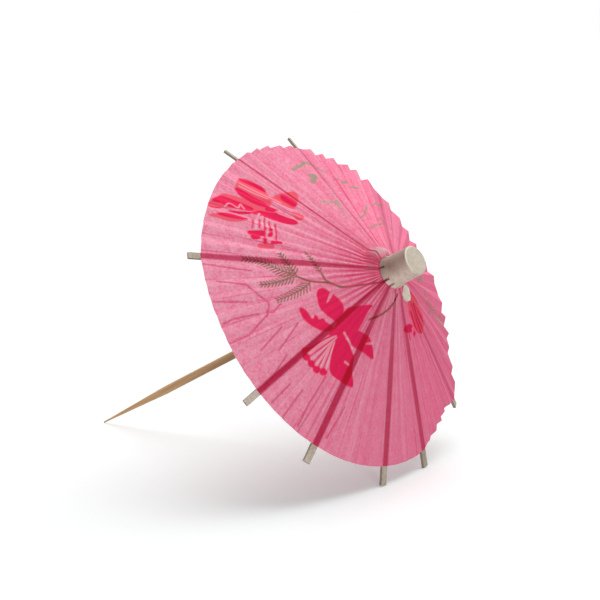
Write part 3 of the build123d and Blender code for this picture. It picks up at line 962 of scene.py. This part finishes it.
def grid_faces(rows, columns):
    """Four-sided faces of a grid of points, row by row."""
    first = (np.arange(rows - 1)[:, None] * columns + np.arange(columns - 1)).ravel()
    return np.stack([first, first + 1, first + columns + 1, first + columns], axis=1)


def new_piece(name, points, faces, finish):
    """A smooth open mesh as an object of the scene."""
    mesh = bpy.data.meshes.new(name)
    mesh.from_pydata(points.tolist(), [], faces.tolist())
    mesh.shade_smooth()
    mesh.materials.append(finish)
    piece = bpy.data.objects.new(name, mesh)
    bpy.context.scene.collection.objects.link(piece)
    return piece


def paper_strip(number, finish):
    """The pleated paper that one rib carries, from the middle of one gap to the middle of the next."""
    rib_angle = rib_angles[number - 1]
    columns = strip_columns(rib_angle - rib_gaps[number - 2] / 2, rib_angle + rib_gaps[number - 1] / 2)
    rows = np.linspace(0, 1, SHEET_ROWS)
    share, angle = (grid.ravel() for grid in np.meshgrid(rows, columns, indexing="ij"))
    radius = PAPER_HOLE + (rim_radius(angle) - PAPER_HOLE) * share
    turn = np.radians(angle)
    sheet = np.stack([radius * np.cos(turn), radius * np.sin(turn)], axis=1) / MM
    points = paper_points(angle, radius, paper_height(angle, radius, sheet))
    strip = new_piece(f"canopy_paper_{number}", points, grid_faces(SHEET_ROWS, len(columns)), finish)
    for name, values in paper_marks(angle, radius, sheet).items():
        mark = strip.data.attributes.new(name, "FLOAT", "POINT")
        mark.data.foreach_set("value", values.astype(np.float32))
    places = np.column_stack([sheet, np.zeros(len(sheet))]).astype(np.float32)
    place_mark = strip.data.attributes.new("sheet_place", "FLOAT_VECTOR", "POINT")
    place_mark.data.foreach_set("vector", places.ravel())
    return strip


def folded_share(half_gap, fold):
    """How narrow half a strip gets when its rib is folded down, to stay in its own sector."""
    run = PAPER_RADIUS * math.cos(math.radians(half_gap))
    drop = paper_apex - PAPER_RADIUS * math.tan(RIB_SLOPE) - hinge_height
    folded = hinge_radius + (run - hinge_radius) * math.cos(fold) + drop * math.sin(fold)
    return FOLDED_ROOM * folded / run


def add_canopy(finish):
    """The whole canopy: a strip of the sheet on every rib, meeting its neighbours edge to edge."""
    for number in range(1, rib_count + 1):
        strip = paper_strip(number, finish)
        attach(strip, f"rib_{number}_fold")
        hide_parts(f"canopy_{number}")
        joint = joints[f"rib_{number}_crease"]
        fold = math.radians(joint["range_deg"][1])
        half_gaps = (rib_gaps[number - 2] / 2, rib_gaps[number - 1] / 2)
        keep = min(folded_share(half_gap, fold) for half_gap in half_gaps)
        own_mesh(strip)


def add_flap(finish):
    """Small torn oval flap beside the cap, which rises off the paper and folds with it."""
    root, tip = np.array(FLAP_ROOT), np.array(FLAP_TIP)
    lengthwise, crosswise = np.linspace(0, 1, FLAP_ROWS), np.linspace(-1, 1, FLAP_COLUMNS)
    grids = np.meshgrid(lengthwise, crosswise, indexing="ij")
    along, across = (grid.ravel() for grid in grids)
    run = tip - root
    aside = np.array([-run[1], run[0]]) / np.linalg.norm(run)
    oval = np.sin(np.pi * (along - FLAP_NECK) / (1 - FLAP_NECK))
    half = FLAP_WIDTH / 2 * np.sqrt(np.clip(oval, FLAP_END, 1))
    sheet = root + along[:, None] * run + (across * half)[:, None] * aside
    radius = np.hypot(*sheet.T) * MM
    angle = np.degrees(np.arctan2(sheet[:, 1], sheet[:, 0]))
    height = FLAP_ROOT_LIFT + (FLAP_LIFT - FLAP_ROOT_LIFT) * along * (1 + FLAP_TILT * across)
    height = height + paper_height(angle, radius, sheet)
    faces = grid_faces(FLAP_ROWS, FLAP_COLUMNS)
    flap = new_piece("cap_flap", paper_points(angle, radius, height), faces, finish)
    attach(flap, "rib_3_fold")


# Stage


def add_floor():
    """The ground under the part's lowest point."""
    ground = cad_box[0].z
    corners = np.array([(x, y, 0) for x, y in ((-1, -1), (1, -1), (1, 1), (-1, 1))]) * FLOOR_HALF
    floor = new_piece("floor", corners + [0, 0, ground], np.array([(0, 1, 2, 3)]), white_floor())


def direction(azimuth, elevation):
    """Unit vector from the object towards an azimuth and elevation."""
    a, e = math.radians(azimuth), math.radians(elevation)
    return Vector((math.sin(a) * math.cos(e), -math.cos(a) * math.cos(e), math.sin(e)))


def add_lamp(name, azimuth, elevation, size, power):
    """A round soft lamp that faces the object."""
    light = bpy.data.lights.new(name, "AREA")
    light.shape = "DISK"
    light.size = size
    light.energy = power
    lamp = bpy.data.objects.new(name, light)
    towards = direction(azimuth, elevation)
    lamp.location = Vector((0, 0, AIM_HEIGHT)) + towards * LAMP_DISTANCE
    lamp.rotation_mode = "QUATERNION"
    lamp.rotation_quaternion = towards.to_track_quat("Z", "Y")
    bpy.context.scene.collection.objects.link(lamp)


def add_surround():
    """The world: white to the camera, and weaker as a light."""
    surround = Finish(bpy.data.worlds.new("surround"))
    strength = background_rays(surround) * (1 - SURROUND_LIGHT) + SURROUND_LIGHT
    sky = surround.node("Background", inputs={"Color": WHITE, "Strength": strength})
    bpy.context.scene.world = surround.surface(sky, "OutputWorld")


def add_camera():
    """The camera, at the photograph's view."""
    back = direction(CAMERA_AZIMUTH, CAMERA_ELEVATION)
    azimuth, roll = math.radians(CAMERA_AZIMUTH), math.radians(CAMERA_ROLL)
    level = Vector((math.cos(azimuth), math.sin(azimuth), 0))
    right = level * math.cos(roll) + back.cross(level) * math.sin(roll)
    up = back.cross(right)
    lens = bpy.data.cameras.new("camera")
    lens.lens = CAMERA_LENS
    lens.sensor_width = CAMERA_SENSOR
    camera = bpy.data.objects.new("camera", lens)
    aim = Vector((0, 0, AIM_HEIGHT)) + right * AIM_RIGHT + up * AIM_UP
    pose = Matrix((right, up, back)).transposed().to_4x4()
    pose.translation = aim + back * CAMERA_DISTANCE
    camera.matrix_world = pose
    bpy.context.scene.collection.objects.link(camera)
    bpy.context.scene.camera = camera


# Everything together

finishes = {
    "bamboo": skewer_wood(),
    "rib_card": rib_card(),
    "cap_card": cap_card(),
    "sleeve_paper": rolled_paper("sleeve_paper", SLEEVE_DARK, SLEEVE_LIGHT),
    "newsprint": rolled_paper("newsprint", NEWSPRINT_DARK, NEWSPRINT_LIGHT),
    "ring_plastic": ring_plastic(),
    "tissue": tissue_paper(),
}
for subpart in frame["record"]["subparts"]:
    node = frame["nodes"][subpart["node"]]
    node.data.materials.clear()
    node.data.materials.append(finishes[subpart["material_slot"]])
add_canopy(finishes["tissue"])
add_flap(finishes["cap_card"])
add_floor()
add_lamp("key", KEY_AZIMUTH, KEY_ELEVATION, KEY_SIZE, KEY_POWER)
add_lamp("fill", FILL_AZIMUTH, FILL_ELEVATION, FILL_SIZE, FILL_POWER)
add_surround()
add_camera()
bpy.context.scene.view_settings.view_transform = "Standard"
